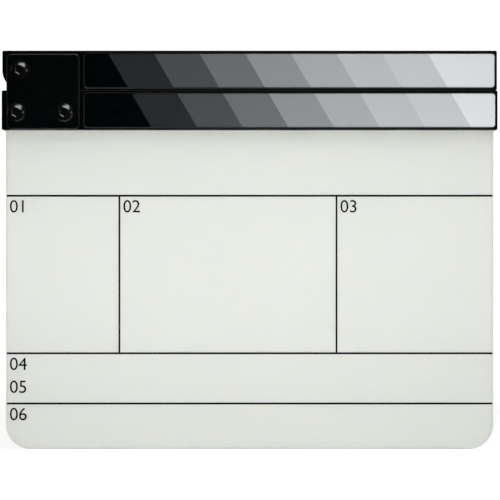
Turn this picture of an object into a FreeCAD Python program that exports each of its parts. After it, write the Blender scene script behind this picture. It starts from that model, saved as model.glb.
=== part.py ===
import FreeCAD, Part
import math
import os
import sys

import Sketcher

# A film clapperboard: an opal acrylic slate under two black sticks, hinged together at the left end.
# Millimetres. +Z is up, +X runs from the hinge to the free end and the front faces -Y.
# The origin is the middle of the slate's bottom edge.

SIZES = {
    # Sticks
    "stick_length": 300.0,
    "stick_height": 24.0,
    "stick_thickness": 13.0,
    "upper_stick_inset": 0.35,
    "stick_corner_radius": 1.0,
    "stick_edge_radius": 0.3,
    "heel_radius": 12.0,
    "clap_gap": 0.05,
    "swing_gap": 0.3,
    # Windows in the sticks, and the striped strips stuck into them
    "window_start": 50.1,
    "window_border": 1.8,
    "window_end_border": 1.4,
    "window_corner_radius": 1.7,
    "window_rim_radius": 0.9,
    "strip_thickness": 2.0,
    "strip_sink": 0.5,
    "strip_clearance": 0.1,
    "strip_edge_chamfer": 0.15,
    "tape_thickness": 0.15,
    "tape_inset": 1.0,
    # Slate
    "slate_height": 193.3,
    "slate_side_inset": 2.15,
    "slate_thickness": 3.0,
    "slate_corner_radius": 15.0,
    "slate_edge_radius": 0.3,
    "shoulder_reach": 0.5,
    "shoulder_radius": 1.7,
    "tongue_height": 14.5,
    "slot_side_clearance": 0.05,
    "slot_top_clearance": 0.4,
    # Hinge plates
    "plate_width": 44.4,
    "plate_thickness": 2.0,
    "plate_side_inset": 2.95,
    "plate_bottom_inset": 0.4,
    "plate_top_inset": 1.8,
    "plate_corner_radius": 3.0,
    "plate_edge_radius": 1.2,
    # Where the hinge screws sit, from the hinge end and from the bottom of the lower stick
    "pivot_inset": 11.1,
    "plate_screw_inset": 9.0,
    "plate_screw_spacing": 29.0,
    "plate_screw_height": 10.4,
    # Button-head screws
    "screw_diameter": 6.0,
    "screw_tip_stand": 0.4,
    "screw_tip_chamfer": 0.6,
    "screw_head_diameter": 11.0,
    "screw_head_height": 3.2,
    "screw_head_rim": 1.15,
    "screw_head_flat": 5.8,
    "screw_head_rim_radius": 0.2,
    "socket_width": 4.0,
    "socket_depth": 2.1,
    "socket_lead_in": 0.4,
    "hole_clearance": 0.3,
    # Washers and lock nuts on the button-head screws
    "washer_diameter": 12.0,
    "washer_thickness": 1.6,
    "washer_clearance": 0.2,
    "washer_edge_chamfer": 0.3,
    "nut_width": 10.0,
    "nut_hex_height": 4.2,
    "nut_height": 6.0,
    "nut_corner_drop": 0.5,
    "nut_collar_diameter": 9.2,
    "nut_collar_radius": 0.6,
    "nut_ring_diameter": 7.8,
    "nut_ring_height": 1.4,
    "thread_clearance": 0.03,
    # Bush and friction washers at the pivot
    "bush_diameter": 9.0,
    "bush_running_clearance": 0.05,
    "bush_seat_clearance": 0.03,
    "friction_washer_diameter": 16.0,
    "friction_washer_thickness": 0.5,
    "friction_washer_clearance": 0.1,
    "friction_washer_gap": 0.05,
    # Magnets at the free end
    "magnet_diameter": 6.0,
    "magnet_thickness": 3.0,
    "magnet_inset": 14.0,
    "magnet_setback": 1.0,
    "magnet_sink": 0.05,
    "magnet_clearance": 0.05,
    # Countersunk screws that hold the slate's tongue, put in from the back
    "slate_screw_diameter": 3.5,
    "slate_screw_cover": 0.75,
    "slate_screw_tip_length": 2.0,
    "slate_screw_tip_diameter": 1.2,
    "slate_screw_head_diameter": 6.8,
    "slate_screw_head_rim": 0.3,
    "slate_screw_sink": 0.1,
    "slate_screw_clearance": 0.05,
    "slate_screw_height": 7.4,
    "slate_screw_end_inset": 24.0,
    "cross_length": 3.6,
    "cross_width": 0.9,
    "cross_depth": 1.5,
    # How far cuts run past the faces that they open
    "overrun": 1.0,
}

SLATE_SCREW_COUNT = 3
COUNTERSINK_TAPER = 45
SOCKET_TAPER = 54
TOUCH = 1e-4

# Places worked out from the sizes, as formulas on the sheet's names
STICK_HALF = "sizes.stick_length / 2"
UPPER_INSET = "sizes.upper_stick_inset"
FACE_DEPTH = "(sizes.stick_thickness / 2)"
SWING_DEPTH = f"({FACE_DEPTH} - sizes.swing_gap)"
WINDOW_DEPTH = "(sizes.strip_sink + sizes.strip_thickness + sizes.tape_thickness)"
LOWER_BASE = "sizes.slate_height"
UPPER_BASE = f"({LOWER_BASE} + sizes.stick_height + sizes.clap_gap)"
PIVOT_X = f"(sizes.pivot_inset - {STICK_HALF})"
PIVOT_RISE = "(sizes.stick_height / 2)"
PIVOT_Z = f"({UPPER_BASE} + {PIVOT_RISE})"
PLATE_FACE = f"({FACE_DEPTH} + sizes.plate_thickness)"
PLATE_SCREW_X = f"(sizes.plate_screw_inset - {STICK_HALF})"
PLATE_SCREW_PLACES = [PLATE_SCREW_X, f"({PLATE_SCREW_X} + sizes.plate_screw_spacing)"]
PLATE_SCREW_Z = f"({LOWER_BASE} + sizes.plate_screw_height)"
NUT_SEAT = f"({PLATE_FACE} + sizes.washer_thickness)"
SCREW_RADIUS = "(sizes.screw_diameter / 2)"
SCREW_LENGTH = f"({PLATE_FACE} + {NUT_SEAT} + sizes.nut_height + sizes.screw_tip_stand)"
HOLE_RADIUS = f"({SCREW_RADIUS} + sizes.hole_clearance)"
THREAD_RADIUS = f"({SCREW_RADIUS} + sizes.thread_clearance)"
WASHER_SEAT_DEPTH = "(sizes.friction_washer_thickness + sizes.friction_washer_gap - sizes.swing_gap)"
BUSH_HALF = f"({SWING_DEPTH} - {WASHER_SEAT_DEPTH})"
MAGNET_X = f"({STICK_HALF} - sizes.magnet_inset)"
SLATE_SCREW_FACE = f"({FACE_DEPTH} - sizes.slate_screw_sink)"
SLATE_SCREW_LENGTH = f"({SLATE_SCREW_FACE} + {FACE_DEPTH} - {WINDOW_DEPTH} - sizes.slate_screw_cover)"
SLATE_SCREW_NECK = "((sizes.slate_screw_head_diameter - sizes.slate_screw_diameter) / 2)"
SLATE_SCREW_HOLE = "(sizes.slate_screw_diameter / 2 + sizes.slate_screw_clearance)"
SLATE_SCREW_Z = f"({LOWER_BASE} + sizes.slate_screw_height)"
SLATE_SCREW_FIRST = f"{STICK_HALF} - sizes.slate_screw_end_inset"
SLATE_SCREW_SPAN = "(sizes.stick_length - sizes.window_start - 2 * sizes.slate_screw_end_inset)"
SLATE_SCREW_PLACES = [
    f"({SLATE_SCREW_FIRST} - {number} * {SLATE_SCREW_SPAN} / {SLATE_SCREW_COUNT - 1})"
    for number in range(SLATE_SCREW_COUNT)
]

doc = FreeCAD.newDocument("clapperboard")
sheet = doc.addObject("Spreadsheet::Sheet", "sizes")
for row, (name, size) in enumerate(SIZES.items(), start=1):
    sheet.set(f"A{row}", name)
    sheet.set(f"B{row}", str(size))
    sheet.setAlias(f"B{row}", name)
doc.recompute()

subparts = []


# Tools for bodies and sketches

def value(formula):
    """The number that a formula on the sheet gives now."""
    return float(sheet.evalExpression(formula))


def minus(formula):
    return f"-({formula})"


def new_body(label, keep=True):
    """An empty body. One that is kept becomes a sub-part with a file of its own."""
    body = doc.addObject("PartDesign::Body", label)
    body.Label = label
    if keep:
        subparts.append(body)
    return body


def place(body, x="0", y="0", z="0", turn=0):
    """Puts a body in the assembly, turned about X by so many degrees."""
    rotation = FreeCAD.Rotation(FreeCAD.Vector(1, 0, 0), turn)
    body.Placement = FreeCAD.Placement(FreeCAD.Vector(), rotation)
    for axis, formula in (("x", x), ("y", y), ("z", z)):
        body.setExpression(f"Placement.Base.{axis}", formula)


def new_sketch(body, plane, lift="0"):
    """A sketch on one of the body's origin planes, lifted along the plane's normal."""
    sketch = body.newObject("Sketcher::SketchObject", f"{body.Label}_sketch")
    origin = {feature.Role: feature for feature in body.Origin.OriginFeatures}
    sketch.AttachmentSupport = [(origin[plane], "")]
    sketch.MapMode = "FlatFace"
    sketch.setExpression("AttachmentOffset.Base.z", lift)
    return sketch


def bind(sketch, constraint, formula):
    """Adds a constraint and ties its value to a formula."""
    index = sketch.addConstraint(constraint)
    sketch.setExpression(f"Constraints[{index}]", formula)


def fix_point(sketch, line, end, x, y):
    """Ties one point of a sketch to two formulas."""
    bind(sketch, Sketcher.Constraint("DistanceX", line, end, value(x)), x)
    bind(sketch, Sketcher.Constraint("DistanceY", line, end, value(y)), y)


def draw_circle(sketch, x, y, radius):
    centre = FreeCAD.Vector(value(x), value(y), 0)
    ring = sketch.addGeometry(Part.Circle(centre, FreeCAD.Vector(0, 0, 1), value(radius)))
    fix_point(sketch, ring, 3, x, y)
    bind(sketch, Sketcher.Constraint("Radius", ring, value(radius)), radius)


def draw_ring(sketch, outer, inner):
    """Two circles about the sketch's origin."""
    draw_circle(sketch, "0", "0", outer)
    draw_circle(sketch, "0", "0", inner)


def arc_between(start, end, radius, turn):
    """The short arc from start to end. A turn of 1 bends left on the way, and -1 bends right."""
    chord = end - start
    half = chord.Length / 2
    reach = math.sqrt(max(radius ** 2 - half ** 2, 0))
    left = FreeCAD.Vector(-chord.y, chord.x, 0).normalize()
    centre = (start + end) / 2 + left * (reach * turn)
    crown = centre - left * (radius * turn)
    return Part.Arc(start, crown, end)


def draw_outline(sketch, steps):
    """A closed outline. Each step is the next point, as (x, y), or (x, y, radius, turn) after an arc."""
    points = [FreeCAD.Vector(value(step[0]), value(step[1]), 0) for step in steps]
    ends = []
    for index, step in enumerate(steps):
        start = points[index - 1]
        end = points[index]
        curve = Part.LineSegment(start, end)
        first, last = 1, 2
        if len(step) > 2:
            curve = arc_between(start, end, value(step[2]), step[3])
            first, last = (1, 2) if step[3] > 0 else (2, 1)
        ends.append((sketch.addGeometry(curve), first, last))
    for index, (line, first, last) in enumerate(ends):
        before, _, before_last = ends[index - 1]
        sketch.addConstraint(Sketcher.Constraint("Coincident", before, before_last, line, first))
        fix_point(sketch, line, last, steps[index][0], steps[index][1])
        if len(steps[index]) > 2:
            radius = steps[index][2]
            bind(sketch, Sketcher.Constraint("Radius", line, value(radius)), radius)


def draw_rectangle(sketch, left, right, bottom, top):
    draw_outline(sketch, [(right, bottom), (right, top), (left, top), (left, bottom)])


def draw_rounded_rectangle(sketch, left, right, bottom, top, radius, heel=None):
    """A rectangle with round corners. The lower left one may have a radius of its own."""
    heel = heel or radius
    draw_outline(sketch, [
        (f"{right} - {radius}", bottom),
        (right, f"{bottom} + {radius}", radius, 1),
        (right, f"{top} - {radius}"),
        (f"{right} - {radius}", top, radius, 1),
        (f"{left} + {radius}", top),
        (left, f"{top} - {radius}", radius, 1),
        (left, f"{bottom} + {heel}"),
        (f"{left} + {heel}", bottom, heel, 1),
    ])


def draw_hexagon(sketch, width):
    """A hexagon about the origin, with two corners on the sketch's vertical axis."""
    corner = f"{width} / sqrt(3)"
    half_corner = f"{corner} / 2"
    half_width = f"{width} / 2"
    draw_outline(sketch, [
        (half_width, minus(half_corner)),
        (half_width, half_corner),
        ("0", corner),
        (minus(half_width), half_corner),
        (minus(half_width), minus(half_corner)),
        ("0", minus(corner)),
    ])


def draw_cross(sketch, length, width):
    """A plus sign about the origin, drawn one arm at a time."""
    long_half = f"{length} / 2"
    short_half = f"{width} / 2"
    steps = []
    for across, along in ((1, 0), (0, 1), (-1, 0), (0, -1)):
        for side in (-1, 1):
            x = f"{across} * {long_half} - {side * along} * {short_half}"
            y = f"{along} * {long_half} + {side * across} * {short_half}"
            steps.append((x, y))
        steps.append((f"{across - along} * {short_half}", f"{across + along} * {short_half}"))
    draw_outline(sketch, steps)


# Tools for solids

def pad(sketch, length, reverse=False, middle=False):
    """Thickens a sketch along its normal, against it, or to both sides alike."""
    body = sketch.getParentGeoFeatureGroup()
    feature = body.newObject("PartDesign::Pad", f"{body.Label}_pad")
    feature.Profile = sketch
    feature.Reversed = reverse
    feature.SideType = "Symmetric" if middle else "One side"
    feature.setExpression("Length", length)
    doc.recompute()
    return feature


def cut(sketch, depth=None, reverse=False, taper=0):
    """Cuts a sketch into its body against the sketch's normal, or with no depth right through both ways."""
    body = sketch.getParentGeoFeatureGroup()
    before = body.Tip.Shape.Volume
    feature = body.newObject("PartDesign::Pocket", f"{body.Label}_cut")
    feature.Profile = sketch
    feature.Reversed = reverse
    feature.TaperAngle = -taper
    if depth is None:
        feature.SideType = "Symmetric"
        feature.Type = "ThroughAll"
    else:
        feature.setExpression("Length", depth)
    doc.recompute()
    if not feature.Shape.Volume < before:
        sys.exit(f"a cut in {body.Label} took nothing away")
    return feature


def revolve(sketch, groove=False):
    """Turns a sketch round its vertical axis, to add metal or to cut a groove."""
    body = sketch.getParentGeoFeatureGroup()
    kind = "Groove" if groove else "Revolution"
    before = body.Tip.Shape.Volume if groove else math.inf
    feature = body.newObject(f"PartDesign::{kind}", f"{body.Label}_{kind.lower()}")
    feature.Profile = sketch
    feature.ReferenceAxis = (sketch, ["V_Axis"])
    doc.recompute()
    if not feature.Shape.Volume < before:
        sys.exit(f"a groove in {body.Label} took nothing away")
    return feature


def edges_at(feature, axis, level, test=None):
    """Names of the edges that lie wholly at one level along an axis, and pass a test if there is one."""
    found = []
    for number, edge in enumerate(feature.Shape.Edges, start=1):
        low = getattr(edge.BoundBox, f"{axis}Min")
        high = getattr(edge.BoundBox, f"{axis}Max")
        flat = abs(low - level) < TOUCH and abs(high - level) < TOUCH
        if flat and (test is None or test(edge)):
            found.append(f"Edge{number}")
    return found


def round_edges(feature, edges, radius):
    body = feature.getParentGeoFeatureGroup()
    fillet = body.newObject("PartDesign::Fillet", f"{body.Label}_round")
    fillet.Base = (feature, edges)
    fillet.setExpression("Radius", radius)
    doc.recompute()
    return fillet


def bevel_edges(feature, edges, size):
    body = feature.getParentGeoFeatureGroup()
    chamfer = body.newObject("PartDesign::Chamfer", f"{body.Label}_bevel")
    chamfer.Base = (feature, edges)
    chamfer.setExpression("Size", size)
    doc.recompute()
    return chamfer


def group(label, bodies):
    """Like pieces that share one sub-part, each a solid of its own."""
    compound = doc.addObject("Part::Compound", label)
    compound.Label = label
    compound.Links = bodies
    subparts.append(compound)


# Slate

def make_slate():
    """The sheet: round lower corners, a small shoulder under the stick and a tongue up into its slot."""
    body = new_body("slate_board")
    half = f"({STICK_HALF} - sizes.slate_side_inset)"
    corner = "sizes.slate_corner_radius"
    wide = f"({half} + sizes.shoulder_reach)"
    curve = "sizes.shoulder_radius"
    drop = f"sqrt(2 * {curve} * sizes.shoulder_reach - sizes.shoulder_reach ^ 2)"
    shoulder = f"({LOWER_BASE} - {drop})"
    top = f"({LOWER_BASE} + sizes.tongue_height)"
    outline = new_sketch(body, "XZ_Plane")
    draw_outline(outline, [
        (f"{half} - {corner}", "0"),
        (half, corner, corner, 1),
        (half, shoulder),
        (wide, LOWER_BASE, curve, -1),
        (wide, top),
        (minus(wide), top),
        (minus(wide), LOWER_BASE),
        (minus(half), shoulder, curve, -1),
        (minus(half), corner),
        (f"{corner} - {half}", "0", corner, 1),
    ])
    slab = pad(outline, "sizes.slate_thickness", middle=True)
    face = value("sizes.slate_thickness / 2")
    stick_bottom = value(LOWER_BASE)

    def shows(edge):
        return edge.BoundBox.ZMax < stick_bottom + TOUCH

    shown = edges_at(slab, "Y", -face, shows) + edges_at(slab, "Y", face, shows)
    round_edges(slab, shown, "sizes.slate_edge_radius")
    holes = new_sketch(body, "XZ_Plane")
    for x in PLATE_SCREW_PLACES:
        draw_circle(holes, x, PLATE_SCREW_Z, HOLE_RADIUS)
    for x in SLATE_SCREW_PLACES:
        draw_circle(holes, x, SLATE_SCREW_Z, SLATE_SCREW_HOLE)
    cut(holes)
    place(body)


# Sticks, each in a frame of its own whose z = 0 is the stick's bottom

def window_edges(end_inset, inset="0"):
    """Left, right, bottom and top of a stick's window, drawn in by an inset."""
    return [
        f"(sizes.window_start - {STICK_HALF} + {inset})",
        f"({STICK_HALF} - {end_inset} - sizes.window_end_border - {inset})",
        f"(sizes.window_border + {inset})",
        f"(sizes.stick_height - sizes.window_border - {inset})",
    ]


def make_stick_bar(label, half_depth, end_inset, heel=None):
    """A bar with rounded long edges and the window that takes its strip."""
    body = new_body(label)
    half = f"({STICK_HALF} - {end_inset})"
    outline = new_sketch(body, "XZ_Plane")
    draw_rounded_rectangle(outline, minus(half), half, "0", "sizes.stick_height",
                           "sizes.stick_corner_radius", heel)
    bar = pad(outline, f"2 * {half_depth}", middle=True)
    depth = value(half_depth)
    outer_edges = edges_at(bar, "Y", -depth) + edges_at(bar, "Y", depth)
    round_edges(bar, outer_edges, "sizes.stick_edge_radius")
    window = new_sketch(body, "XZ_Plane", half_depth)
    draw_rounded_rectangle(window, *window_edges(end_inset), "sizes.window_corner_radius")
    bar = cut(window, WINDOW_DEPTH)
    left, right, bottom, top = [value(edge) for edge in window_edges(end_inset)]

    def is_rim(edge):
        box = edge.BoundBox
        inside_length = box.XMin > left - TOUCH and box.XMax < right + TOUCH
        return inside_length and box.ZMin > bottom - TOUCH and box.ZMax < top + TOUCH

    round_edges(bar, edges_at(bar, "Y", -depth, is_rim), "sizes.window_rim_radius")
    return body


def bore_for_magnet(body, face, from_above):
    """The blind hole for a magnet in a stick's clapping face."""
    hole = new_sketch(body, "XY_Plane", face)
    radius = "(sizes.magnet_diameter / 2 + sizes.magnet_clearance)"
    draw_circle(hole, MAGNET_X, "sizes.magnet_setback", radius)
    cut(hole, "sizes.magnet_thickness + 2 * sizes.magnet_sink", reverse=not from_above)


def sink_slate_screw(body, x):
    """A countersunk hole from the back face, as deep as the screw that fills it."""
    head_radius = "(sizes.slate_screw_head_diameter / 2 + sizes.slate_screw_clearance)"
    rim_floor = f"({SLATE_SCREW_FACE} - sizes.slate_screw_head_rim)"
    steps = (
        (FACE_DEPTH, SLATE_SCREW_HOLE, f"sizes.slate_screw_sink + {SLATE_SCREW_LENGTH}", 0),
        (FACE_DEPTH, head_radius, "sizes.slate_screw_sink + sizes.slate_screw_head_rim", 0),
        (rim_floor, head_radius, SLATE_SCREW_NECK, COUNTERSINK_TAPER),
    )
    for level, radius, depth, taper in steps:
        sketch = new_sketch(body, "XZ_Plane", minus(level))
        draw_circle(sketch, x, "sizes.slate_screw_height", radius)
        cut(sketch, depth, reverse=True, taper=taper)


def make_lower_stick():
    """The fixed stick: slotted below for the slate, drilled for the plate screws and the slate screws."""
    body = make_stick_bar("lower_stick", FACE_DEPTH, "0")
    slot = new_sketch(body, "YZ_Plane")
    half_slot = "(sizes.slate_thickness / 2 + sizes.slot_side_clearance)"
    slot_top = "sizes.tongue_height + sizes.slot_top_clearance"
    draw_rectangle(slot, minus(half_slot), half_slot, minus("sizes.overrun"), slot_top)
    cut(slot)
    holes = new_sketch(body, "XZ_Plane")
    for x in PLATE_SCREW_PLACES:
        draw_circle(holes, x, "sizes.plate_screw_height", HOLE_RADIUS)
    cut(holes)
    for x in SLATE_SCREW_PLACES:
        sink_slate_screw(body, x)
    bore_for_magnet(body, "sizes.stick_height", from_above=True)
    place(body, z=LOWER_BASE)


def make_upper_stick():
    """The moving stick: bored for its bush, with a shallow seat for a friction washer on each side."""
    body = make_stick_bar("upper_stick", SWING_DEPTH, UPPER_INSET, heel="sizes.heel_radius")
    bore = new_sketch(body, "XZ_Plane")
    draw_circle(bore, PIVOT_X, PIVOT_RISE, "(sizes.bush_diameter / 2 + sizes.bush_seat_clearance)")
    cut(bore)
    seat_radius = "(sizes.friction_washer_diameter / 2 + sizes.friction_washer_clearance)"
    for face, reverse in ((SWING_DEPTH, False), (minus(SWING_DEPTH), True)):
        seat = new_sketch(body, "XZ_Plane", face)
        draw_circle(seat, PIVOT_X, PIVOT_RISE, seat_radius)
        cut(seat, WASHER_SEAT_DEPTH, reverse=reverse)
    bore_for_magnet(body, "0", from_above=False)
    place(body, z=UPPER_BASE)


def make_strip(label, half_depth, base, end_inset):
    """A striped strip, lying a little below the stick's front face."""
    body = new_body(label)
    face = f"({half_depth} - sizes.strip_sink)"
    outline = new_sketch(body, "XZ_Plane", face)
    corner = "(sizes.window_corner_radius - sizes.strip_clearance)"
    draw_rounded_rectangle(outline, *window_edges(end_inset, "sizes.strip_clearance"), corner)
    slab = pad(outline, "sizes.strip_thickness", reverse=True)
    bevel_edges(slab, edges_at(slab, "Y", -value(face)), "sizes.strip_edge_chamfer")
    place(body, z=base)


def make_tape(label, half_depth, base, end_inset):
    """The adhesive film between a strip and the floor of its window."""
    body = new_body(label)
    outline = new_sketch(body, "XZ_Plane", f"({half_depth} - sizes.strip_sink - sizes.strip_thickness)")
    draw_rectangle(outline, *window_edges(end_inset, "sizes.tape_inset"))
    pad(outline, "sizes.tape_thickness", reverse=True)
    place(body, z=base)


def make_magnet(label, base):
    """A disc magnet, with its lower face at a given height."""
    body = new_body(label)
    outline = new_sketch(body, "XY_Plane")
    draw_circle(outline, "0", "0", "sizes.magnet_diameter / 2")
    pad(outline, "sizes.magnet_thickness")
    place(body, x=MAGNET_X, y="sizes.magnet_setback", z=base)


# Hinge

def make_hinge_plate(label, front):
    """One of the two plates that hold the pivot, rounded along its outer edge."""
    body = new_body(label)
    left = f"(sizes.plate_side_inset - {STICK_HALF})"
    right = f"({left} + sizes.plate_width)"
    bottom = f"({LOWER_BASE} + sizes.plate_bottom_inset)"
    top = f"({UPPER_BASE} + sizes.stick_height - sizes.plate_top_inset)"
    outline = new_sketch(body, "XZ_Plane", FACE_DEPTH if front else minus(FACE_DEPTH))
    draw_rounded_rectangle(outline, left, right, bottom, top, "sizes.plate_corner_radius")
    slab = pad(outline, "sizes.plate_thickness", reverse=not front)
    outer_face = value(minus(PLATE_FACE) if front else PLATE_FACE)
    round_edges(slab, edges_at(slab, "Y", outer_face), "sizes.plate_edge_radius")
    holes = new_sketch(body, "XZ_Plane")
    draw_circle(holes, PIVOT_X, PIVOT_Z, HOLE_RADIUS)
    for x in PLATE_SCREW_PLACES:
        draw_circle(holes, x, PLATE_SCREW_Z, HOLE_RADIUS)
    cut(holes)
    place(body)


def make_button_screw(label, x, z, keep):
    """A button-head screw with a hexagon socket. In its own frame the head stands on z = 0."""
    body = new_body(label, keep)
    tip = minus(SCREW_LENGTH)
    rim_radius = "(sizes.screw_head_diameter / 2)"
    rim = "sizes.screw_head_rim"
    flat = "(sizes.screw_head_flat / 2)"
    head = "sizes.screw_head_height"
    centre_drop = f"(({rim_radius} ^ 2 + {rim} ^ 2 - {flat} ^ 2 - {head} ^ 2) / (2 * ({head} - {rim})))"
    dome_radius = f"sqrt({rim_radius} ^ 2 + ({rim} + {centre_drop}) ^ 2)"
    profile = new_sketch(body, "XZ_Plane")
    draw_outline(profile, [
        ("0", tip),
        (f"{SCREW_RADIUS} - sizes.screw_tip_chamfer", tip),
        (SCREW_RADIUS, f"{tip} + sizes.screw_tip_chamfer"),
        (SCREW_RADIUS, "0"),
        (rim_radius, "0"),
        (rim_radius, rim),
        (flat, head, dome_radius, 1),
        ("0", head),
    ])
    blank = revolve(profile)
    round_edges(blank, edges_at(blank, "Z", value(rim)), "sizes.screw_head_rim_radius")
    socket = new_sketch(body, "XY_Plane", head)
    draw_hexagon(socket, "sizes.socket_width")
    cut(socket, "sizes.socket_depth")
    lead_in = new_sketch(body, "XY_Plane", head)
    draw_hexagon(lead_in, "(sizes.socket_width + 2 * sizes.socket_lead_in)")
    cut(lead_in, f"sizes.socket_lead_in / tan({SOCKET_TAPER} deg)", taper=SOCKET_TAPER)
    place(body, x=x, y=minus(PLATE_FACE), z=z, turn=90)
    return body


def make_washer(label, x, z, keep):
    """A flat washer on the back plate."""
    body = new_body(label, keep)
    outline = new_sketch(body, "XY_Plane")
    draw_ring(outline, "sizes.washer_diameter / 2", f"({SCREW_RADIUS} + sizes.washer_clearance)")
    disc = pad(outline, "sizes.washer_thickness")
    rim_radius = value("sizes.washer_diameter / 2")
    rim = edges_at(disc, "Z", value("sizes.washer_thickness"),
                   lambda edge: edge.BoundBox.XMax > rim_radius - TOUCH)
    bevel_edges(disc, rim, "sizes.washer_edge_chamfer")
    place(body, x=x, y=PLATE_FACE, z=z, turn=-90)
    return body


def make_lock_nut(label, x, z, keep):
    """A lock nut: a hexagon with a round collar that holds the nylon ring."""
    body = new_body(label, keep)
    hexagon = new_sketch(body, "XY_Plane")
    draw_hexagon(hexagon, "sizes.nut_width")
    pad(hexagon, "sizes.nut_hex_height")
    flat = "sizes.nut_width / 2"
    corner = "sizes.nut_width / sqrt(3)"
    slope = f"(sizes.nut_corner_drop / ({corner} - {flat}))"
    reach = f"({corner} + sizes.overrun)"
    corners = new_sketch(body, "XZ_Plane")
    draw_outline(corners, [
        (flat, "sizes.nut_hex_height"),
        (reach, f"sizes.nut_hex_height - ({reach} - {flat}) * {slope}"),
        (reach, "sizes.nut_hex_height"),
    ])
    revolve(corners, groove=True)
    collar = new_sketch(body, "XY_Plane", "sizes.nut_hex_height")
    draw_circle(collar, "0", "0", "sizes.nut_collar_diameter / 2")
    crown = pad(collar, "sizes.nut_height - sizes.nut_hex_height")
    round_edges(crown, edges_at(crown, "Z", value("sizes.nut_height")), "sizes.nut_collar_radius")
    bore = new_sketch(body, "XY_Plane", "sizes.nut_height")
    draw_circle(bore, "0", "0", THREAD_RADIUS)
    cut(bore)
    seat = new_sketch(body, "XY_Plane", "sizes.nut_height")
    draw_circle(seat, "0", "0", "sizes.nut_ring_diameter / 2")
    cut(seat, "sizes.nut_ring_height")
    place(body, x=x, y=NUT_SEAT, z=z, turn=-90)
    return body


def make_nut_ring(label, x, z, keep):
    """The nylon ring in a lock nut's collar."""
    body = new_body(label, keep)
    outline = new_sketch(body, "XY_Plane")
    draw_ring(outline, "(sizes.nut_ring_diameter / 2 - sizes.thread_clearance)", THREAD_RADIUS)
    pad(outline, "sizes.nut_ring_height")
    place(body, x=x, y=f"{NUT_SEAT} + sizes.nut_height - sizes.nut_ring_height", z=z, turn=-90)
    return body


def make_hinge_fasteners():
    """One screw, washer and lock nut at the pivot, and a pair of each through the lower stick."""
    makers = (
        ("screw", make_button_screw),
        ("washer", make_washer),
        ("nut", make_lock_nut),
        ("nut_ring", make_nut_ring),
    )
    for kind, maker in makers:
        maker(f"pivot_{kind}", PIVOT_X, PIVOT_Z, keep=True)
        pair = [
            maker(f"plate_{kind}_{number}", x, PLATE_SCREW_Z, keep=False)
            for number, x in enumerate(PLATE_SCREW_PLACES, start=1)
        ]
        group(f"plate_{kind}s", pair)


def make_bush():
    """The sleeve in the upper stick that turns on the pivot screw."""
    body = new_body("pivot_bush")
    outline = new_sketch(body, "XZ_Plane")
    draw_ring(outline, "sizes.bush_diameter / 2", f"({SCREW_RADIUS} + sizes.bush_running_clearance)")
    pad(outline, f"2 * {BUSH_HALF}", middle=True)
    place(body, x=PIVOT_X, z=PIVOT_Z)


def make_friction_washer(label, front):
    """A thin plastic washer between the upper stick and one hinge plate."""
    body = new_body(label)
    outline = new_sketch(body, "XZ_Plane", BUSH_HALF if front else minus(BUSH_HALF))
    draw_ring(outline, "sizes.friction_washer_diameter / 2", HOLE_RADIUS)
    pad(outline, "sizes.friction_washer_thickness", reverse=not front)
    place(body, x=PIVOT_X, z=PIVOT_Z)


# Screws that hold the slate

def make_slate_screw(label, x):
    """A countersunk tapping screw with a cross recess. In its own frame the head's face is z = 0."""
    body = new_body(label, keep=False)
    end = minus(SLATE_SCREW_LENGTH)
    shank = "sizes.slate_screw_diameter / 2"
    head = "sizes.slate_screw_head_diameter / 2"
    rim = "sizes.slate_screw_head_rim"
    profile = new_sketch(body, "XZ_Plane")
    draw_outline(profile, [
        ("0", end),
        ("sizes.slate_screw_tip_diameter / 2", end),
        (shank, f"{end} + sizes.slate_screw_tip_length"),
        (shank, minus(f"{rim} + {SLATE_SCREW_NECK}")),
        (head, minus(rim)),
        (head, "0"),
        ("0", "0"),
    ])
    revolve(profile)
    cross = new_sketch(body, "XY_Plane")
    draw_cross(cross, "sizes.cross_length", "sizes.cross_width")
    cut(cross, "sizes.cross_depth")
    place(body, x=x, y=SLATE_SCREW_FACE, z=SLATE_SCREW_Z, turn=-90)
    return body


def make_slate_screws():
    screws = [
        make_slate_screw(f"slate_screw_{number}", x)
        for number, x in enumerate(SLATE_SCREW_PLACES, start=1)
    ]
    group("slate_screws", screws)


make_slate()
make_lower_stick()
make_upper_stick()
for side, *stick in (("lower", FACE_DEPTH, LOWER_BASE, "0"), ("upper", SWING_DEPTH, UPPER_BASE, UPPER_INSET)):
    make_strip(f"{side}_stripe_strip", *stick)
    make_tape(f"{side}_strip_tape", *stick)
make_magnet("lower_magnet", f"{UPPER_BASE} - sizes.clap_gap - sizes.magnet_sink - sizes.magnet_thickness")
make_magnet("upper_magnet", f"{UPPER_BASE} + sizes.magnet_sink")
for side in ("front", "rear"):
    make_hinge_plate(f"{side}_hinge_plate", front=side == "front")
    make_friction_washer(f"{side}_friction_washer", front=side == "front")
make_hinge_fasteners()
make_bush()
make_slate_screws()
doc.recompute()

faults = [thing.Label for thing in doc.Objects if {"Invalid", "Error"} & set(thing.State)]
faults += [thing.Label for thing in subparts if thing.Shape.isNull() or not thing.Shape.isValid()]
if faults:
    sys.exit("failed: " + ", ".join(faults))

os.makedirs("parts", exist_ok=True)
for thing in subparts:
    thing.Shape.exportStep(f"parts/{thing.Label}.step")
print(f"wrote {len(subparts)} sub-parts")
print(f"screws {value(SCREW_LENGTH):.2f} and {value(SLATE_SCREW_LENGTH):.2f} mm long")
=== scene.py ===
"""The looks of the clapperboard: its finishes, the print on its slate, the studio and the camera."""

import math

import bmesh
import bpy
from mathutils import Matrix, Vector


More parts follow.
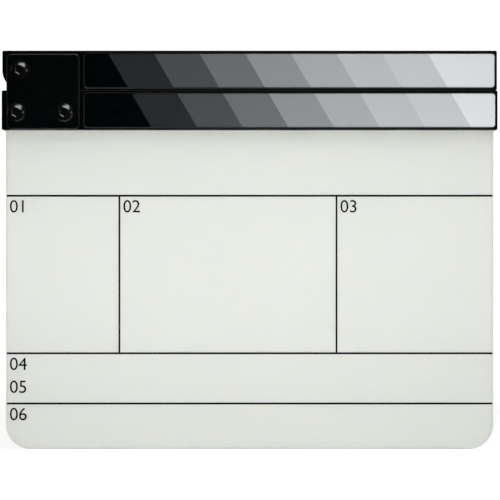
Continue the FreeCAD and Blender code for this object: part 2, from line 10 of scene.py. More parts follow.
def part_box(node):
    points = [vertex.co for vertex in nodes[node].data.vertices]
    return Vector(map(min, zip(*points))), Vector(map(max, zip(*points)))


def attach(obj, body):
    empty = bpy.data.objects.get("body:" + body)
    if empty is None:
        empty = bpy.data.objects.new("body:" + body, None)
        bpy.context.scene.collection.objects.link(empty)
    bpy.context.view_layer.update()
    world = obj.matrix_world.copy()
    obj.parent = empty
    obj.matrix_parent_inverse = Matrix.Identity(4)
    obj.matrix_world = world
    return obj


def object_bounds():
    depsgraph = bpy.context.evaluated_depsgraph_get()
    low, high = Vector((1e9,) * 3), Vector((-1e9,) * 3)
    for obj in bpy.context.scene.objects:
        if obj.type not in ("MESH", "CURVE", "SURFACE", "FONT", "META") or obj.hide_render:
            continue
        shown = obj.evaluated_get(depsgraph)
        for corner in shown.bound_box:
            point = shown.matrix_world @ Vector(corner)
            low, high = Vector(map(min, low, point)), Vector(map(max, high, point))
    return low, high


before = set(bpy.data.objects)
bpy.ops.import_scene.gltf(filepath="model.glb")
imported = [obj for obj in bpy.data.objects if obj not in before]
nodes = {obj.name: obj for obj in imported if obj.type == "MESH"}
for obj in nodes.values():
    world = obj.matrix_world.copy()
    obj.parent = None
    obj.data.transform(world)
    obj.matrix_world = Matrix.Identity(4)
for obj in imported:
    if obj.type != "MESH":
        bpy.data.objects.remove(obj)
cad_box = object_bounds()

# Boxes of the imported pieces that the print, the finishes and the studio follow.
slate_low, slate_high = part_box("slate_board")
upper_strip_low, upper_strip_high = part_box("upper_stripe_strip")
lower_stick_low, lower_stick_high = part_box("lower_stick")
upper_stick_low, upper_stick_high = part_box("upper_stick")
pivot_low, pivot_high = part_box("pivot_screw")
plate_screws_low, plate_screws_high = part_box("plate_screws")

# The print on the slate, in metres, with the number of steps round each corner of a bar of ink.
RULE_WIDTH = 0.00112
DIVIDER_WIDTH = 0.00106
INK_DEPTH = 0.00004
INK_EDGE_RADIUS = 0.00015
INK_CORNER_STEPS = 3
LINE_INSET = 0.0005
RULE_HEIGHTS = (0.15364, 0.05803, 0.02756)
DIVIDER_PLACES = (-0.07902, 0.05273)
NUMBER_HEIGHT = 0.0076
NUMBER_WEIGHT = 0.00002
NUMBER_LEFT_MARGIN = 0.0024
NUMBER_GAP_BELOW_RULE = 0.0026
NUMBER_SECOND_ROW_DROP = 0.0139

# The slanted grey steps, in metres. They are one print that runs on over both strips.
STEP_WIDTH = 0.02762
# The first step ends this far along the top of the upper strip.
FIRST_STEP_END = 0.01435
# The run along a strip for each metre down.
STEP_LEAN = 0.585
# Display greys from the hinge to the free end, and what is added to each for its red, green and blue.
STEP_GREYS = (3, 44, 83, 119, 157, 186, 207, 219, 246)
STEP_TINT = (-2, 1, 3)

# Up to this far from the sticks' outer edges, in metres, only a share of the paler rim colour shows, which
# is partly wear and partly a painted highlight.
OUTER_EDGE_WIDTH = 0.0008
OUTER_EDGE_SHARE = 0.05
# From this far on all of it shows.
OUTER_EDGE_FADE_END = 0.0012

# The span of the noise that most finishes use.
NOISE_SPAN = (0.3, 0.7)

# How much of a second colour, or of bare metal, shows where a mark or the wear is full. On the plates' rims
# the paler colour is partly wear and partly a painted highlight.
SLATE_WIPE_SHARE = 0.05
STRIP_FLECK_SHARE = 0.008
STRIP_SCRATCH_SHARE = 0.012
PLATE_RIM_SHARE = 0.14
PLATE_RING_SHARE = 0.02
PLATE_SCRATCH_SHARE = 0.03
SCREW_BARE_SHARE = 0.2
SCREW_METAL_SHARE = 0.4
INNER_WEAR_SHARE = 0.3

# How far the polished rings reach, as a share of a screw head's radius.
RING_REACH_SHARE = 1.25

# How much less rough the sticks are where the rim mask is full, the mask that also carries their painted
# highlight.
STICK_RIM_POLISH = 0.03

# An inner piece's highest roughness, as a share of its lowest.
ROUGHEST_SHARE = 1.4

# The camera, in metres, with its sensor in millimetres.
CAMERA_DISTANCE = 1.5
CAMERA_SIDE = 0.00024
CAMERA_HEIGHT = 0.12072
VIEW_WIDTH = 0.30243
SENSOR_WIDTH = 36.0

# The floor and the backdrop, in metres, with their greys and their lift to white near the part.
FLOOR_HALF_WIDTH = 9.0
FLOOR_SEGMENTS = 8
FLOOR_DROP = 0.0002
FLOOR_GREY = 0.7
FLOOR_NEAR_LIFT = 0.7
WALL_RADIUS = 3.2
WALL_HEIGHT = 1.5
WALL_OPENING = math.radians(150)
WALL_PIECES = 64
WALL_GREY = 0.8
WALL_NEAR_LIFT = 1.0

# That lift holds up to this far from the origin, in metres, and is full at twice as far.
SHADOW_REACH = 0.4

# In gloss the floor and the backdrop show this grey up to this place along Y, in metres.
MIRRORED_GREY = 0.03
DARK_FRONT = 0.4
# From this place on they show white.
BRIGHT_BACK = 2.8

# The lamps, in metres, watts and degrees. Those that are not glossy stay out of reflections.
# Softboxes face the middle of the part.
SOFTBOXES = {
    "top softbox": {"place": (0.3, -0.6, 1.3), "width": 1.2, "height": 1.0, "power": 7.2},
    "left top softbox": {
        "place": (-0.75, -0.4, 1.2), "width": 0.4, "height": 0.5, "power": 0.6, "glossy": False,
    },
    "right softbox": {"place": (1.5, -0.5, 0.25), "width": 0.4, "height": 0.6, "power": 0.45},
}
# Fills face a spot on the slate.
FILLS = {
    "front fill": {
        "place": (-0.05, -0.655, 0.085), "width": 0.79, "height": 0.11,
        "power": 0.588, "spread": 65, "glossy": False,
    },
    "back fill": {
        "place": (0.02, 0.9, 0.134), "width": 0.68, "height": 0.35,
        "power": 0.95, "spread": 48, "glossy": False,
    },
}
# That spot's place along X, in metres, and its height as a share of the height of the slate's top.
FILL_AIM_SIDE = 0.005
FILL_AIM_HEIGHT_SHARE = 0.6

# The strength of the room's even light.
ROOM_LIGHT = 0.015


def linear(grey):
    """A display grey from 0 to 255 as a linear value from 0 to 1."""
    share = grey / 255
    if share <= 0.04045:
        return share / 12.92
    return ((share + 0.055) / 1.055) ** 2.4


def shade(red, green, blue):
    """A colour given as display values."""
    return (linear(red), linear(green), linear(blue), 1.0)


def add_node(tree, kind, inputs=(), **settings):
    """Adds a shader node and gives its inputs values or links, by name or by number."""
    made = tree.nodes.new("ShaderNode" + kind)
    for name, setting in settings.items():
        setattr(made, name, setting)
    for socket, given in dict(inputs).items():
        if isinstance(given, bpy.types.NodeSocket):
            tree.links.new(given, made.inputs[socket])
        else:
            made.inputs[socket].default_value = given
    return made


def calculate(tree, operation, *values):
    """The result of a Math node."""
    return add_node(tree, "Math", enumerate(values), operation=operation).outputs[0]


def move(tree, operation, *vectors):
    """The vector that a Vector Math node gives."""
    return add_node(tree, "VectorMath", enumerate(vectors), operation=operation).outputs["Vector"]


def remap(tree, value, low, high, new_low, new_high):
    """A value taken from one range to another, and held inside it."""
    inputs = {"Value": value, "From Min": low, "From Max": high, "To Min": new_low, "To Max": new_high}
    return add_node(tree, "MapRange", inputs).outputs["Result"]


def blend(tree, share, first, second):
    """A colour between two others."""
    return add_node(tree, "Mix", {0: share, 6: first, 7: second}, data_type="RGBA").outputs[2]


def clouds(tree, place, scale, detail=2.0, roughness=0.5):
    """Noise from 0 to 1."""
    inputs = {"Vector": place, "Scale": scale, "Detail": detail, "Roughness": roughness}
    return add_node(tree, "TexNoise", inputs).outputs[0]


def object_place(tree):
    """The place on the piece, in metres in the frame of the part."""
    return add_node(tree, "TexCoord").outputs["Object"]


def split(tree, vector):
    """The X, Y and Z outputs of a vector."""
    return add_node(tree, "SeparateXYZ", {"Vector": vector}).outputs


def new_group(name, inputs, outputs):
    """A shader node group with number sockets, and its inner ends."""
    group = bpy.data.node_groups.new(name, "ShaderNodeTree")
    for label, value in inputs.items():
        socket = group.interface.new_socket(label, in_out="INPUT", socket_type="NodeSocketFloat")
        socket.default_value = value
    for label in outputs:
        group.interface.new_socket(label, in_out="OUTPUT", socket_type="NodeSocketFloat")
    given = group.nodes.new("NodeGroupInput").outputs
    result = group.nodes.new("NodeGroupOutput").inputs
    return group, given, result


def use_group(tree, group, values):
    """Places a group in a material with that material's own values."""
    made = tree.nodes.new("ShaderNodeGroup")
    made.node_tree = group
    for label, value in values.items():
        made.inputs[label].default_value = value
    return made.outputs


def make_grain():
    """Fine moulded or sprayed grain, with slow clouds of tone over it."""
    sizes = {"Grain Size": 0.0005, "Cloud Size": 0.03}
    group, given, result = new_group("fine grain", sizes, ["Height", "Cloud"])
    place = object_place(group)
    grain_scale = calculate(group, "DIVIDE", 1.0, given["Grain Size"])
    cloud_scale = calculate(group, "DIVIDE", 1.0, given["Cloud Size"])
    group.links.new(clouds(group, place, grain_scale, detail=3.0), result["Height"])
    group.links.new(clouds(group, place, cloud_scale, detail=4.0, roughness=0.6), result["Cloud"])
    return group


def make_worn_edges():
    """A mask of the edges that hands and cases rub, broken into patches."""
    group, given, result = new_group("worn edges", {"Edge Width": 0.0006, "Patch Size": 0.006}, ["Mask"])
    flat = add_node(group, "NewGeometry").outputs["Normal"]
    turned = add_node(group, "Bevel", {"Radius": given["Edge Width"]}, samples=6).outputs["Normal"]
    agreement = add_node(group, "VectorMath", {0: flat, 1: turned}, operation="DOT_PRODUCT").outputs["Value"]
    flat_limit = 0.995
    edge_limit = 0.88
    edge = remap(group, agreement, flat_limit, edge_limit, 0.0, 1.0)
    patch_scale = calculate(group, "DIVIDE", 1.0, given["Patch Size"])
    patch_noise = clouds(group, object_place(group), patch_scale, detail=5.0, roughness=0.7)
    patch_start = 0.42
    patch_full = 0.68
    patches = remap(group, patch_noise, patch_start, patch_full, 0.0, 1.0)
    group.links.new(calculate(group, "MULTIPLY", edge, patches), result["Mask"])
    return group


def make_rim_wear_and_sheen():
    """A mask of a squared piece's rounded edges, uneven along them: partly wear, partly a painted highlight.
    """
    group, given, result = new_group("rim wear and painted sheen", {"Patch Size": 0.01}, ["Mask"])
    coordinates = add_node(group, "TexCoord").outputs
    facing = split(group, move(group, "ABSOLUTE", coordinates["Normal"]))
    most = calculate(group, "MAXIMUM", facing["X"], facing["Y"])
    most = calculate(group, "MAXIMUM", most, facing["Z"])
    flat_limit = 0.99
    rim_limit = 0.84
    rim = remap(group, most, flat_limit, rim_limit, 0.0, 1.0)
    patch_scale = calculate(group, "DIVIDE", 1.0, given["Patch Size"])
    patch_noise = clouds(group, coordinates["Object"], patch_scale, detail=4.0)
    least_rim_mark = 0.75
    patches = remap(group, patch_noise, *NOISE_SPAN, least_rim_mark, 1.0)
    group.links.new(calculate(group, "MULTIPLY", rim, patches), result["Mask"])
    return group


def make_wipe_marks():
    """Soft streaks left by a cloth or a hand wiped across a face."""
    group, given, result = new_group("wipe marks", {"Mark Length": 0.09, "Mark Width": 0.009}, ["Mask"])
    place = object_place(group)
    along = calculate(group, "DIVIDE", 1.0, given["Mark Length"])
    across = calculate(group, "DIVIDE", 1.0, given["Mark Width"])
    stretch = add_node(group, "CombineXYZ", {"X": along, "Y": across, "Z": across}).outputs[0]
    lean = math.radians(14)
    turned = add_node(group, "VectorRotate", {"Vector": place, "Angle": lean},
                      rotation_type="Y_AXIS").outputs[0]
    streaks = clouds(group, move(group, "MULTIPLY", turned, stretch), 1.0, detail=3.0, roughness=0.5)
    streak_start = 0.25
    streak_full = 0.8
    group.links.new(remap(group, streaks, streak_start, streak_full, 0.0, 1.0), result["Mask"])
    return group


def make_scratches():
    """Thin hairlines in three directions."""
    group, given, result = new_group("hairline scratches", {"Length": 0.03, "Width": 0.00025}, ["Mask"])
    place = object_place(group)
    along = calculate(group, "DIVIDE", 1.0, given["Length"])
    across = calculate(group, "DIVIDE", 1.0, given["Width"])
    stretch = add_node(group, "CombineXYZ", {"X": along, "Y": along, "Z": across}).outputs[0]
    line_start = 0.76
    line_full = 0.84
    found = []
    for degrees in (-21, 9, 63):
        turned = add_node(group, "VectorRotate", {"Vector": place, "Angle": math.radians(degrees)},
                          rotation_type="Y_AXIS").outputs[0]
        lines = clouds(group, move(group, "MULTIPLY", turned, stretch), 1.0, detail=0.0)
        found.append(remap(group, lines, line_start, line_full, 0.0, 1.0))
    first_two = calculate(group, "MAXIMUM", found[0], found[1])
    group.links.new(calculate(group, "MAXIMUM", first_two, found[2]), result["Mask"])
    return group


GRAIN = make_grain()
WORN_EDGES = make_worn_edges()
RIM_WEAR_AND_SHEEN = make_rim_wear_and_sheen()
WIPE_MARKS = make_wipe_marks()
SCRATCHES = make_scratches()


def new_material(name, values):
    """A material with its even values set on the shader itself."""
    material = bpy.data.materials.new(name)
    material.use_nodes = True
    surface = material.node_tree.nodes["Principled BSDF"].inputs
    for socket, value in values.items():
        surface[socket].default_value = value
    return material, material.node_tree, surface


def raise_bumps(tree, surface, height, depth):
    """Turns a height from 0 to 1 into bumps that are that deep."""
    bump = add_node(tree, "Bump", {"Height": height, "Distance": depth})
    tree.links.new(bump.outputs["Normal"], surface["Normal"])


def vary_roughness(tree, surface, mask, low, high, span=(0.0, 1.0)):
    """Lets the roughness run from low to high as a mask goes over a span."""
    tree.links.new(remap(tree, mask, *span, low, high), surface["Roughness"])


def make_opal_acrylic():
    """The slate: milky sheet that lets light wander inside it, wiped many times."""
    material, tree, surface = new_material("opal acrylic", {
        "Subsurface Weight": 0.6,
        "Subsurface Radius": (1.0, 1.0, 0.94),
        "Subsurface Scale": 0.0030,
        "IOR": 1.49,
        "Specular IOR Level": 0.4,
    })
    marks = use_group(tree, WIPE_MARKS, {"Mark Length": 0.08, "Mark Width": 0.03})["Mask"]
    grain = use_group(tree, GRAIN, {"Grain Size": 0.0015, "Cloud Size": 0.045})
    tone = remap(tree, grain["Cloud"], *NOISE_SPAN, 0.0, 1.0)
    sheet = blend(tree, tone, shade(242, 244, 239), shade(243, 245, 240))
    wipe_share = calculate(tree, "MULTIPLY", marks, SLATE_WIPE_SHARE)
    wiped = blend(tree, wipe_share, sheet, shade(232, 234, 230))
    tree.links.new(wiped, surface["Base Color"])
    vary_roughness(tree, surface, marks, low=0.3, high=0.4)
    raise_bumps(tree, surface, grain["Height"], depth=0.000004)
    return material


def make_ink():
    """The printed lines and numbers: a thin dark film, a little uneven in tone."""
    material, tree, surface = new_material("slate ink", {"Specular IOR Level": 0.08})
    grain = use_group(tree, GRAIN, {"Grain Size": 0.0002, "Cloud Size": 0.004})
    thin_start = 0.35
    thin_full = 0.75
    thin = remap(tree, grain["Cloud"], thin_start, thin_full, 0.0, 1.0)
    tree.links.new(blend(tree, thin, shade(5, 5, 6), shade(18, 18, 18)), surface["Base Color"])
    vary_roughness(tree, surface, grain["Height"], low=0.42, high=0.6, span=NOISE_SPAN)
    raise_bumps(tree, surface, grain["Height"], depth=0.000006)
    return material


def window_rims(tree, rims):
    """Keeps the rim mask, partly wear and partly a painted highlight, round the sticks' windows, and most of
    it off their outer edges.
    """
    pitch = upper_stick_high.z - lower_stick_high.z
    first_edge = (lower_stick_high.z + upper_stick_low.z) / 2
    along = calculate(tree, "SUBTRACT", split(tree, object_place(tree))["Z"], first_edge - pitch)
    edge_distance = calculate(tree, "PINGPONG", along, pitch / 2)
    share = remap(tree, edge_distance, OUTER_EDGE_WIDTH, OUTER_EDGE_FADE_END, OUTER_EDGE_SHARE, 1.0)
    return calculate(tree, "MULTIPLY", rims, share)


def make_black_plastic():
    """The sticks: satin black with a fine grain, paler along the rims of their windows, partly from wear and
    partly from a painted highlight.
    """
    material, tree, surface = new_material("black plastic", {"Specular IOR Level": 0.45})
    grain = use_group(tree, GRAIN, {"Grain Size": 0.00035, "Cloud Size": 0.02})
    rims = window_rims(tree, use_group(tree, RIM_WEAR_AND_SHEEN, {"Patch Size": 0.012})["Mask"])
    marks = use_group(tree, WIPE_MARKS, {"Mark Length": 0.05, "Mark Width": 0.006})["Mask"]
    tone = blend(tree, grain["Cloud"], shade(1, 2, 2), shade(4, 5, 5))
    # The paler rim colour is partly wear and partly a painted highlight along the rounded edges.
    tree.links.new(blend(tree, rims, tone, shade(42, 43, 43)), surface["Base Color"])
    dull = remap(tree, marks, 0.0, 1.0, 0.16, 0.22)
    polish = calculate(tree, "MULTIPLY", rims, STICK_RIM_POLISH)
    tree.links.new(calculate(tree, "SUBTRACT", dull, polish), surface["Roughness"])
    raise_bumps(tree, surface, grain["Height"], depth=0.000008)
    return material


def make_striped_acrylic():
    """Both strips: nine slanted grey steps printed from dark to pale, under a satin face."""
    material, tree, surface = new_material("striped acrylic", {"Specular IOR Level": 0.15})
    place = split(tree, object_place(tree))
    drop = calculate(tree, "SUBTRACT", upper_strip_high.z, place["Z"])
    slanted = calculate(tree, "SUBTRACT", place["X"], calculate(tree, "MULTIPLY", drop, STEP_LEAN))
    print_start = upper_strip_low.x + FIRST_STEP_END - STEP_WIDTH
    run = calculate(tree, "DIVIDE", calculate(tree, "SUBTRACT", slanted, print_start), STEP_WIDTH)
    step_middle = calculate(tree, "ADD", calculate(tree, "FLOOR", run), 0.5)
    ramp = add_node(tree, "ValToRGB", {"Fac": calculate(tree, "DIVIDE", step_middle, len(STEP_GREYS))})
    ramp.color_ramp.interpolation = "CONSTANT"
    stops = ramp.color_ramp.elements
    while len(stops) < len(STEP_GREYS):
        stops.new(1.0)
    for number, grey in enumerate(STEP_GREYS):
        stops[number].position = number / len(STEP_GREYS)
        stops[number].color = shade(*[max(grey + tint, 0) for tint in STEP_TINT])
    grain = use_group(tree, GRAIN, {"Grain Size": 0.0003, "Cloud Size": 0.012})
    scratches = use_group(tree, SCRATCHES, {"Length": 0.02, "Width": 0.0002})["Mask"]
    marks = use_group(tree, WIPE_MARKS, {"Mark Length": 0.04, "Mark Width": 0.005})["Mask"]
    fleck_start = 0.5
    fleck_full = 0.8
    fleck_share = remap(tree, grain["Cloud"], fleck_start, fleck_full, 0.0, STRIP_FLECK_SHARE)
    flecked = blend(tree, fleck_share, ramp.outputs["Color"], shade(120, 122, 124))
    scratch_share = calculate(tree, "MULTIPLY", scratches, STRIP_SCRATCH_SHARE)
    lined = blend(tree, scratch_share, flecked, shade(170, 172, 172))
    tree.links.new(lined, surface["Base Color"])
    vary_roughness(tree, surface, marks, low=0.18, high=0.26)
    raise_bumps(tree, surface, grain["Height"], depth=0.000004)
    return material


def ring_marks(tree, centres, inner, outer):
    """A mask of the rings that screw heads and washers polish round themselves, on faces across Y."""
    place = move(tree, "MULTIPLY", object_place(tree), (1.0, 0.0, 1.0))
    found = 0.0
    for centre in centres:
        away = move(tree, "SUBTRACT", place, (centre.x, 0.0, centre.z))
        distance = add_node(tree, "VectorMath", {0: away}, operation="LENGTH").outputs["Value"]
        found = calculate(tree, "MAXIMUM", found, remap(tree, distance, outer, inner, 0.0, 1.0))
    return found


def hinge_screw_centres():
    """Where the axes of the pivot screw and the two plate screws cross Y = 0."""
    head = (pivot_high.x - pivot_low.x) / 2
    middle = (plate_screws_low.z + plate_screws_high.z) / 2
    return [
        Vector((pivot_low.x + head, 0.0, (pivot_low.z + pivot_high.z) / 2)),
        Vector((plate_screws_low.x + head, 0.0, middle)),
        Vector((plate_screws_high.x - head, 0.0, middle)),
    ]


def make_coated_steel():
    """The hinge plates: black sprayed coat, paler along the edges, partly from wear and partly from a
    painted highlight, and polished round the screws.
    """
    material, tree, surface = new_material("black coated steel", {"Specular IOR Level": 0.55})
    grain = use_group(tree, GRAIN, {"Grain Size": 0.0006, "Cloud Size": 0.012})
    rims = use_group(tree, RIM_WEAR_AND_SHEEN, {"Patch Size": 0.008})["Mask"]
    scratches = use_group(tree, SCRATCHES, {"Length": 0.012, "Width": 0.00018})["Mask"]
    head = (pivot_high.x - pivot_low.x) / 2
    rings = ring_marks(tree, hinge_screw_centres(), head, head * RING_REACH_SHARE)
    coat = blend(tree, grain["Cloud"], shade(0, 4, 4), shade(4, 8, 8))
    # The paler rim colour is partly wear and partly a painted highlight along the plates' rounded edges.
    rim_wear_and_sheen = calculate(tree, "MULTIPLY", rims, PLATE_RIM_SHARE)
    ring_wear = calculate(tree, "MULTIPLY", rings, PLATE_RING_SHARE)
    scratch_wear = calculate(tree, "MULTIPLY", scratches, PLATE_SCRATCH_SHARE)
    wear_and_sheen = calculate(tree, "MAXIMUM", rim_wear_and_sheen, ring_wear)
    wear_and_sheen = calculate(tree, "MAXIMUM", wear_and_sheen, scratch_wear)
    tree.links.new(blend(tree, wear_and_sheen, coat, shade(84, 86, 86)), surface["Base Color"])
    vary_roughness(tree, surface, grain["Cloud"], low=0.17, high=0.24, span=NOISE_SPAN)
    raise_bumps(tree, surface, grain["Height"], depth=0.000006)
    return material


def make_black_oxide():
    """Screws, washers and nuts: dark oxide on steel, worn a little on the sharpest edges."""
    material, tree, surface = new_material("black oxide steel", {"IOR": 2.4})
    grain = use_group(tree, GRAIN, {"Grain Size": 0.0003, "Cloud Size": 0.003})
    worn = use_group(tree, WORN_EDGES, {"Edge Width": 0.0002, "Patch Size": 0.0015})["Mask"]
    coat = blend(tree, grain["Cloud"], shade(1, 1, 2), shade(5, 5, 6))
    bare = calculate(tree, "MULTIPLY", worn, SCREW_BARE_SHARE)
    tree.links.new(blend(tree, bare, coat, shade(110, 108, 105)), surface["Base Color"])
    tree.links.new(remap(tree, worn, 0.0, 1.0, 0.0, SCREW_METAL_SHARE), surface["Metallic"])
    vary_roughness(tree, surface, grain["Cloud"], low=0.19, high=0.25, span=NOISE_SPAN)
    raise_bumps(tree, surface, grain["Height"], depth=0.000004)
    return material


def make_plain_finish(name, pale, deep, roughness, values):
    """A small inner piece's finish: two tones in clouds, a fine grain and edges worn paler."""
    material, tree, surface = new_material(name, values)
    grain = use_group(tree, GRAIN, {"Grain Size": 0.0003, "Cloud Size": 0.004})
    worn = use_group(tree, WORN_EDGES, {"Edge Width": 0.0003, "Patch Size": 0.002})["Mask"]
    tone = blend(tree, grain["Cloud"], deep, pale)
    wear = calculate(tree, "MULTIPLY", worn, INNER_WEAR_SHARE)
    tree.links.new(blend(tree, wear, tone, pale), surface["Base Color"])
    roughest = roughness * ROUGHEST_SHARE
    vary_roughness(tree, surface, grain["Cloud"], low=roughness, high=roughest, span=NOISE_SPAN)
    raise_bumps(tree, surface, grain["Height"], depth=0.000006)
    return material


def dress(finish, *names):
    """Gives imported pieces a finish."""
    for name in names:
        nodes[name].data.materials.clear()
        nodes[name].data.materials.append(finish)


def dress_frame():
    """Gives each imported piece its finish."""
    dress(make_opal_acrylic(), "slate_board")
    dress(make_black_plastic(), "lower_stick", "upper_stick")
    dress(make_striped_acrylic(), "lower_stripe_strip", "upper_stripe_strip")
    dress(make_coated_steel(), "front_hinge_plate", "rear_hinge_plate")
    dress(make_black_oxide(), "pivot_screw", "pivot_washer", "pivot_nut", "plate_screws", "plate_washers",
          "plate_nuts", "slate_screws")
    metal = {"Metallic": 1.0}
    nylon = make_plain_finish("white nylon", shade(226, 225, 218), shade(210, 208, 198), 0.42, {})
    dress(nylon, "pivot_nut_ring", "plate_nut_rings", "front_friction_washer", "rear_friction_washer")
    bronze = make_plain_finish("bronze", shade(178, 142, 88), shade(140, 104, 58), 0.26, metal)
    dress(bronze, "pivot_bush")
    nickel = make_plain_finish("nickel plate", shade(205, 203, 198), shade(180, 178, 172), 0.18, metal)
    dress(nickel, "lower_magnet", "upper_magnet")
    film = make_plain_finish("adhesive film", shade(222, 220, 208), shade(205, 202, 188), 0.6, {})
    dress(film, "lower_strip_tape", "upper_strip_tape")


def add_piece(name, mesh, finish, body):
    """Puts a mesh in the scene as a piece that moves with a body."""
    mesh.materials.clear()
    mesh.materials.append(finish)
    piece = bpy.data.objects.new(name, mesh)
    bpy.context.scene.collection.objects.link(piece)
    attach(piece, body)


def add_ink_bar(shape, left, right, bottom, top):
    """A thin bar of ink on the slate's face, with round corners."""
    face_depth = slate_low.y
    reach = INK_EDGE_RADIUS
    corners = ((right, top, 0), (left, top, 1), (left, bottom, 2), (right, bottom, 3))
    outline = []
    for x, z, quarter in corners:
        inner_x = x - reach if quarter in (0, 3) else x + reach
        inner_z = z - reach if quarter in (0, 1) else z + reach
        for step in range(INK_CORNER_STEPS + 1):
            angle = math.radians(90 * quarter + 90 * step / INK_CORNER_STEPS)
            spot = (inner_x + reach * math.cos(angle), face_depth, inner_z + reach * math.sin(angle))
            outline.append(shape.verts.new(spot))
    back = shape.faces.new(outline)
    raised = bmesh.ops.extrude_face_region(shape, geom=[back])
    front = [part for part in raised["geom"] if isinstance(part, bmesh.types.BMVert)]
    bmesh.ops.translate(shape, verts=front, vec=(0.0, -INK_DEPTH, 0.0))


def slate_half_width():
    """Half the slate's width below its shoulders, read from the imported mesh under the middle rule."""
    vertices = nodes["slate_board"].data.vertices
    return max(vertex.co.x for vertex in vertices if vertex.co.z < RULE_HEIGHTS[1])


def make_ruled_lines(ink):
    """The three rules across the slate and the two dividers between the upper two."""
    shape = bmesh.new()
    rule_half = RULE_WIDTH / 2
    divider_half = DIVIDER_WIDTH / 2
    reach = slate_half_width() - LINE_INSET
    for height in RULE_HEIGHTS:
        add_ink_bar(shape, -reach, reach, height - rule_half, height + rule_half)
    divider_bottom = RULE_HEIGHTS[1] + rule_half
    divider_top = RULE_HEIGHTS[0] - rule_half
    for place in DIVIDER_PLACES:
        add_ink_bar(shape, place - divider_half, place + divider_half, divider_bottom, divider_top)
    bmesh.ops.recalc_face_normals(shape, faces=shape.faces)
    mesh = bpy.data.meshes.new("ruled_lines")
    shape.to_mesh(mesh)
    shape.free()
    add_piece("ruled_lines", mesh, ink, "board")


def make_field_numbers(ink):
    """A plain number at the upper left of each ruled field."""
    left = NUMBER_LEFT_MARGIN - slate_half_width()
    columns = [left] + [place + NUMBER_LEFT_MARGIN for place in DIVIDER_PLACES]
    tops = [height - NUMBER_GAP_BELOW_RULE for height in RULE_HEIGHTS]
    places = [(column, tops[0]) for column in columns]
    places += [(left, tops[1]), (left, tops[1] - NUMBER_SECOND_ROW_DROP), (left, tops[2])]
    for count, (x, top) in enumerate(places, start=1):
        text = bpy.data.curves.new("number", "FONT")
        text.body = f"{count:02d}"
        text.extrude = INK_DEPTH
        text.offset = NUMBER_WEIGHT
        holder = bpy.data.objects.new("number", text)
        mesh = bpy.data.meshes.new_from_object(holder)
        bpy.data.objects.remove(holder)
        spots = [vertex.co for vertex in mesh.vertices]
        low = Vector((min(spot.x for spot in spots), min(spot.y for spot in spots), 0.0))
        high = max(spot.y for spot in spots)
        size = NUMBER_HEIGHT / (high - low.y)
        stand = Matrix.Rotation(math.radians(90), 4, "X")
        mesh.transform(Matrix.Translation(-low))
        mesh.transform(stand @ Matrix.Diagonal((size, size, 1.0, 1.0)))
        mesh.transform(Matrix.Translation((x, slate_low.y, top - NUMBER_HEIGHT)))
        add_piece(f"field_number_{count}", mesh, ink, "board")


def make_stage_finish(name, grey, near_lift):
    """Matt grey, lifted to white where it is seen, but less so near the part, where its shadow lies.
    Gloss shows it dark in front of the part and white behind."""
    material, tree, surface = new_material(name, {
        "Roughness": 1.0,
        "Specular IOR Level": 0.0,
        "Emission Color": (1.0, 1.0, 1.0, 1.0),
    })
    rays = add_node(tree, "LightPath").outputs
    place = object_place(tree)
    distance = add_node(tree, "VectorMath", {0: place}, operation="LENGTH").outputs["Value"]
    lift = remap(tree, distance, SHADOW_REACH, 2 * SHADOW_REACH, near_lift, 1.0)
    gloss_share = remap(tree, split(tree, place)["Y"], DARK_FRONT, BRIGHT_BACK, 0.0, 1.0)
    mirrored = calculate(tree, "MULTIPLY", rays["Is Glossy Ray"], gloss_share)
    seen = calculate(tree, "MAXIMUM", rays["Is Camera Ray"], rays["Is Transmission Ray"])
    shown = calculate(tree, "MAXIMUM", seen, mirrored)
    tree.links.new(calculate(tree, "MULTIPLY", shown, lift), surface["Emission Strength"])
    hidden = calculate(tree, "SUBTRACT", rays["Is Glossy Ray"], mirrored)
    plain = (grey, grey, grey, 1.0)
    dark = (MIRRORED_GREY, MIRRORED_GREY, MIRRORED_GREY, 1.0)
    tree.links.new(blend(tree, hidden, plain, dark), surface["Base Color"])
    return material


def add_stage_piece(name, shape, finish):
    """Puts a floor or backdrop mesh in the scene."""
    mesh = bpy.data.meshes.new(name)
    shape.to_mesh(mesh)
    shape.free()
    mesh.materials.append(finish)
    piece = bpy.data.objects.new(name, mesh)
    bpy.context.scene.collection.objects.link(piece)
    return piece


def make_floor():
    """A wide pale floor just under the slate's bottom edge."""
    shape = bmesh.new()
    bmesh.ops.create_grid(
        shape, x_segments=FLOOR_SEGMENTS, y_segments=FLOOR_SEGMENTS, size=FLOOR_HALF_WIDTH)
    finish = make_stage_finish("pale floor", FLOOR_GREY, FLOOR_NEAR_LIFT)
    floor = add_stage_piece("floor", shape, finish)
    floor.location.z = slate_low.z - FLOOR_DROP


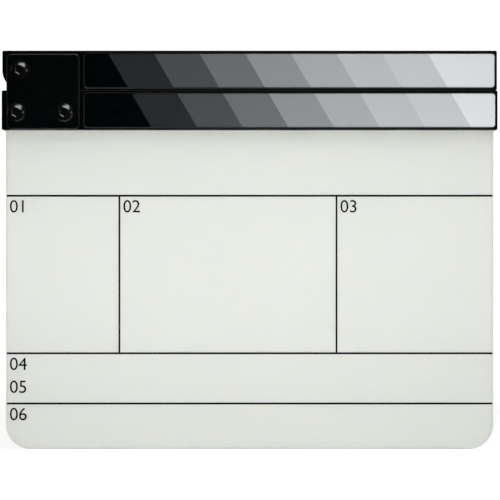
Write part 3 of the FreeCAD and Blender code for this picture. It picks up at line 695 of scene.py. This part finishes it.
def make_wall():
    """A round backdrop behind the part, open towards the camera."""
    shape = bmesh.new()
    start = math.radians(-90) + WALL_OPENING / 2
    sweep = math.radians(360) - WALL_OPENING
    ground = slate_low.z - FLOOR_DROP
    rise = Vector((0.0, 0.0, WALL_HEIGHT))
    columns = []
    for number in range(WALL_PIECES + 1):
        angle = start + sweep * number / WALL_PIECES
        foot = Vector((WALL_RADIUS * math.cos(angle), WALL_RADIUS * math.sin(angle), ground))
        columns.append((shape.verts.new(foot), shape.verts.new(foot + rise)))
    for first, second in zip(columns, columns[1:]):
        shape.faces.new((first[0], second[0], second[1], first[1]))
    finish = make_stage_finish("backdrop", WALL_GREY, WALL_NEAR_LIFT)
    add_stage_piece("backdrop", shape, finish)


def add_softbox(name, place, aim, width, height, power, spread=180, glossy=True):
    """A soft lamp that faces a point. A grid may narrow its spread, and it may stay out of reflections."""
    lamp = bpy.data.lights.new(name, "AREA")
    lamp.shape = "RECTANGLE"
    lamp.size = width
    lamp.size_y = height
    lamp.energy = power
    lamp.spread = math.radians(spread)
    holder = bpy.data.objects.new(name, lamp)
    holder.location = place
    holder.rotation_mode = "QUATERNION"
    holder.rotation_quaternion = (Vector(aim) - Vector(place)).to_track_quat("-Z", "Y")
    holder.visible_camera = False
    holder.visible_glossy = glossy
    bpy.context.scene.collection.objects.link(holder)


def make_studio():
    """Floor, backdrop, lamps and the light of the room."""
    make_floor()
    make_wall()
    middle = (cad_box[0] + cad_box[1]) / 2
    slate_spot = Vector((FILL_AIM_SIDE, slate_low.y, slate_high.z * FILL_AIM_HEIGHT_SHARE))
    for name, lamp in SOFTBOXES.items():
        add_softbox(name, aim=middle, **lamp)
    for name, lamp in FILLS.items():
        add_softbox(name, aim=slate_spot, **lamp)
    world = bpy.data.worlds.new("room")
    world.use_nodes = True
    background = world.node_tree.nodes["Background"].inputs
    background["Color"].default_value = (1.0, 1.0, 1.0, 1.0)
    background["Strength"].default_value = ROOM_LIGHT
    bpy.context.scene.world = world


def make_camera():
    """A level camera straight in front of the part."""
    data = bpy.data.cameras.new("camera")
    data.sensor_width = SENSOR_WIDTH
    data.lens = SENSOR_WIDTH * CAMERA_DISTANCE / VIEW_WIDTH
    camera = bpy.data.objects.new("camera", data)
    camera.location = (CAMERA_SIDE, lower_stick_low.y - CAMERA_DISTANCE, CAMERA_HEIGHT)
    camera.rotation_euler = (math.radians(90), 0.0, 0.0)
    bpy.context.scene.collection.objects.link(camera)
    bpy.context.scene.camera = camera


dress_frame()
slate_ink = make_ink()
make_ruled_lines(slate_ink)
make_field_numbers(slate_ink)
make_studio()
make_camera()
bpy.context.scene.view_settings.view_transform = "Standard"
